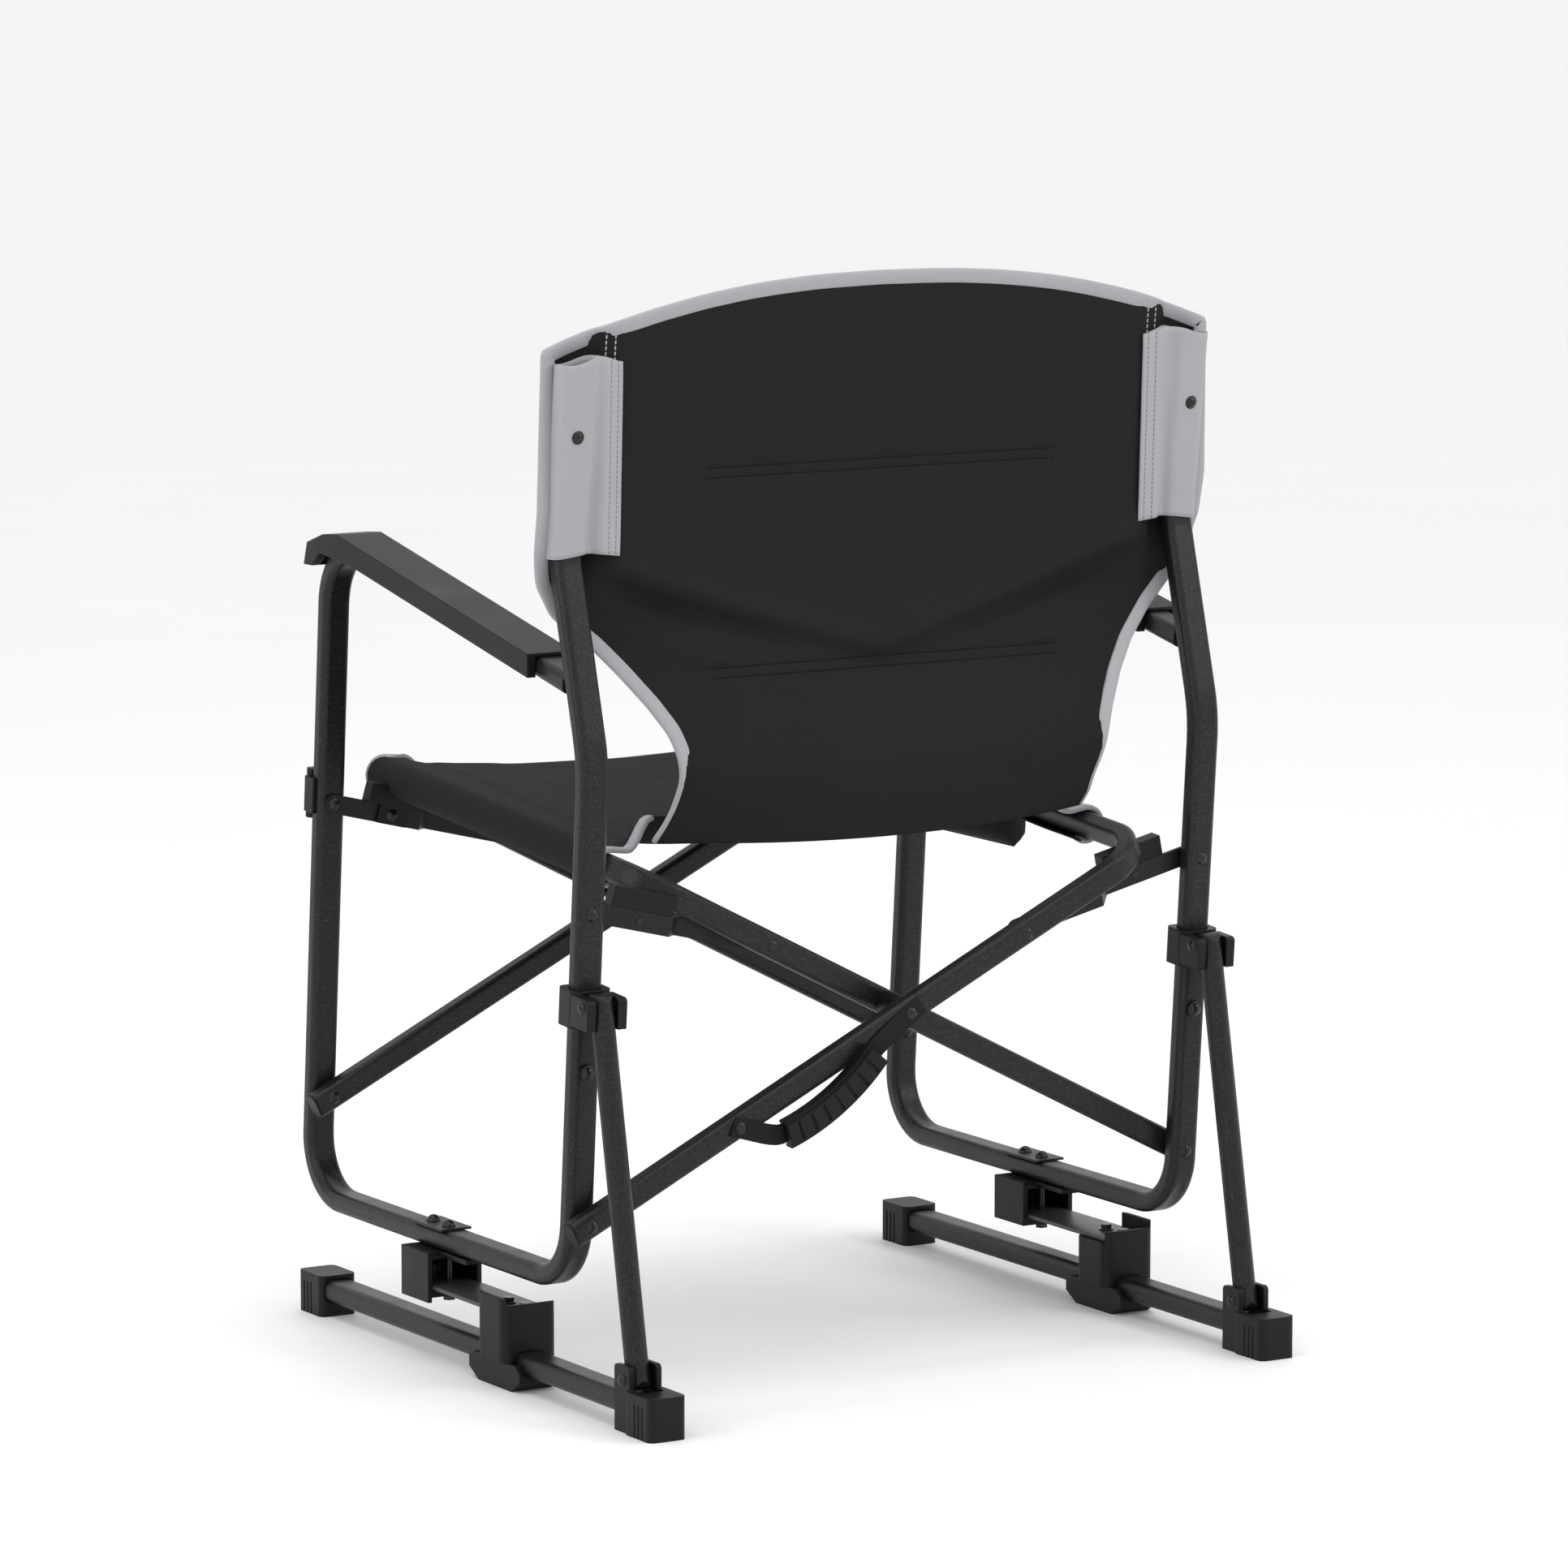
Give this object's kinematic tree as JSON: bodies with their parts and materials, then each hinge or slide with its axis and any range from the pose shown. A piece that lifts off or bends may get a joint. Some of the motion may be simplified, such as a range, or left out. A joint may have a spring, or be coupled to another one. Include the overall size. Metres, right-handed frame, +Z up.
{
  "type": "folding camp rocking chair",
  "caption": "Folding camp chair with padded arm pads and a fabric seat and back, rocking on spring leaves between floor rails and side frames.",
  "frame": {"origin": "on the floor under the middle of the chair", "axes": "+Z up, -Y the way the sitter faces, +X to the sitter's left"},
  "size_m": [0.63, 0.6136, 0.8994],
  "materials": {
    "frame_tube": "satin powder coat, fine metallic speckle",
    "link_steel": "satin black paint on flat bar",
    "black_plastic": "fine moulded grain",
    "black_fasteners": "glossy black",
    "spring_steel": "dark satin, glass cloth faintly visible",
    "black_canvas": "coarse plain weave, matte",
    "grey_twill": "matte light grey twill",
    "black_webbing": "woven strap"
  },
  "bodies": {
    "left_base": {"left_base_rail": "frame_tube", "left_front_cap": "black_plastic", "left_rear_cap": "black_plastic", "left_rear_bracket": "black_plastic", "left_rail_saddle": "black_plastic", "left_bracket_bolts": "black_fasteners", "left_spring_leaf": "spring_steel", "left_foot_pin": "black_fasteners"},
    "left_frame": {"left_side_tube": "frame_tube", "left_arm_pad": "black_plastic", "left_front_bracket": "black_plastic", "left_bar_plate": "link_steel", "left_bar_bolts": "black_fasteners", "left_collar_stop": "black_fasteners", "left_frame_rivets": "black_fasteners", "left_back_sleeve": "grey_twill", "post_clip": "black_plastic", "backrest": "black_canvas"},
    "left_collar_ring": {"left_collar": "black_plastic", "left_collar_pin": "black_fasteners"},
    "left_strut_tube": {"left_strut": "frame_tube"},
    "left_links": {"left_rear_link": "link_steel", "left_front_link": "link_steel", "left_link_saddles": "black_plastic", "left_link_rivets": "black_fasteners"},
    "cross_b": {"x_frame_b": "frame_tube", "x_frame_b_caps": "black_plastic", "x_frame_b_rivets": "black_fasteners", "centre_spacers": "black_plastic", "carry_strap": "black_webbing", "carry_grip": "black_plastic"},
    "cross_a": {"x_frame_a": "frame_tube", "x_frame_a_caps": "black_plastic", "x_frame_a_rivets": "black_fasteners", "seat": "black_canvas"},
    "right_frame": {"right_side_tube": "frame_tube", "right_arm_pad": "black_plastic", "right_front_bracket": "black_plastic", "right_bar_plate": "link_steel", "right_bar_bolts": "black_fasteners", "right_collar_stop": "black_fasteners", "right_frame_rivets": "black_fasteners", "right_back_sleeve": "grey_twill", "side_pocket": "black_canvas", "pocket_straps": "black_webbing"},
    "right_collar_ring": {"right_collar": "black_plastic", "right_collar_pin": "black_fasteners"},
    "right_strut_tube": {"right_strut": "frame_tube"},
    "right_links": {"right_rear_link": "link_steel", "right_front_link": "link_steel", "right_link_saddles": "black_plastic", "right_link_rivets": "black_fasteners"},
    "right_base": {"right_base_rail": "frame_tube", "right_front_cap": "black_plastic", "right_rear_cap": "black_plastic", "right_rear_bracket": "black_plastic", "right_rail_saddle": "black_plastic", "right_bracket_bolts": "black_fasteners", "right_spring_leaf": "spring_steel", "right_foot_pin": "black_fasteners"}
  },
  "joints": [
    {"name": "rock", "type": "hinge", "parent": "left_base", "child": "left_frame", "pos_m": [0.29, 0.00078, 0.063], "axis": [1, 0, 0], "range_deg": [-8, 6.5], "stiffness_Nm_per_rad": 420, "deforming": ["left_spring_leaf"]},
    {"name": "left_collar_slide", "type": "slide", "parent": "left_frame", "child": "left_collar_ring", "axis": [0, 0.0785, 0.9969], "range_m": [-0.0299, 0.0367]},
    {"name": "left_strut_swing", "type": "hinge", "parent": "left_base", "child": "left_strut_tube", "pos_m": [0.29, 0.25878, 0.042], "axis": [1, 0, 0], "range_deg": [-8.5, 7]},
    {"name": "fold", "type": "hinge", "parent": "left_frame", "child": "cross_b", "pos_m": [0.29, 0.16128, 0.153], "axis": [0, 0.9969, -0.0785], "range_deg": [0, 36.4], "deforming": ["seat", "backrest"]},
    {"name": "centre_pivot", "type": "hinge", "parent": "cross_b", "child": "cross_a", "pos_m": [0, 0.17297, 0.30154], "axis": [0, 0.9969, -0.0785], "range_deg": [-73.3, 0.5]},
    {"name": "right_leg_pivot", "type": "hinge", "parent": "cross_a", "child": "right_frame", "pos_m": [-0.29, 0.16128, 0.153], "axis": [0, 0.9969, -0.0785], "range_deg": [-0.5, 36.9]},
    {"name": "left_link_pivot", "type": "hinge", "parent": "left_frame", "child": "left_links", "pos_m": [0.29, 0.18092, 0.40259], "axis": [0, 0.9969, -0.0785], "range_deg": [-0.5, 70.36]},
    {"name": "right_link_pivot", "type": "hinge", "parent": "right_frame", "child": "right_links", "pos_m": [-0.29, 0.18092, 0.40259], "axis": [0, 0.9969, -0.0785], "range_deg": [-70.36, 0.5]},
    {"name": "right_rock", "type": "hinge", "parent": "right_frame", "child": "right_base", "pos_m": [-0.29, 0.00078, 0.063], "axis": [1, 0, 0], "range_deg": [-7, 8.5], "stiffness_Nm_per_rad": 420, "deforming": ["right_spring_leaf"]},
    {"name": "right_collar_slide", "type": "slide", "parent": "right_frame", "child": "right_collar_ring", "axis": [0, 0.0785, 0.9969], "range_m": [-0.0299, 0.0367]},
    {"name": "right_strut_swing", "type": "hinge", "parent": "right_base", "child": "right_strut_tube", "pos_m": [-0.29, 0.25878, 0.042], "axis": [1, 0, 0], "range_deg": [-8.5, 7]}
  ],
  "couplings": [
    {"joint": "left_collar_slide", "follows": "rock", "m_per_rad": -0.2585},
    {"joint": "left_strut_swing", "follows": "rock", "ratio": 1},
    {"joint": "right_rock", "follows": "rock", "ratio": -1},
    {"joint": "right_collar_slide", "follows": "rock", "m_per_rad": -0.2585},
    {"joint": "right_strut_swing", "follows": "rock", "ratio": 1},
    {"joint": "centre_pivot", "follows": "fold", "ratio": -2},
    {"joint": "right_leg_pivot", "follows": "fold", "ratio": 1},
    {"joint": "left_link_pivot", "follows": "fold", "ratio": 1.9192},
    {"joint": "right_link_pivot", "follows": "fold", "ratio": -1.9192}
  ]
}
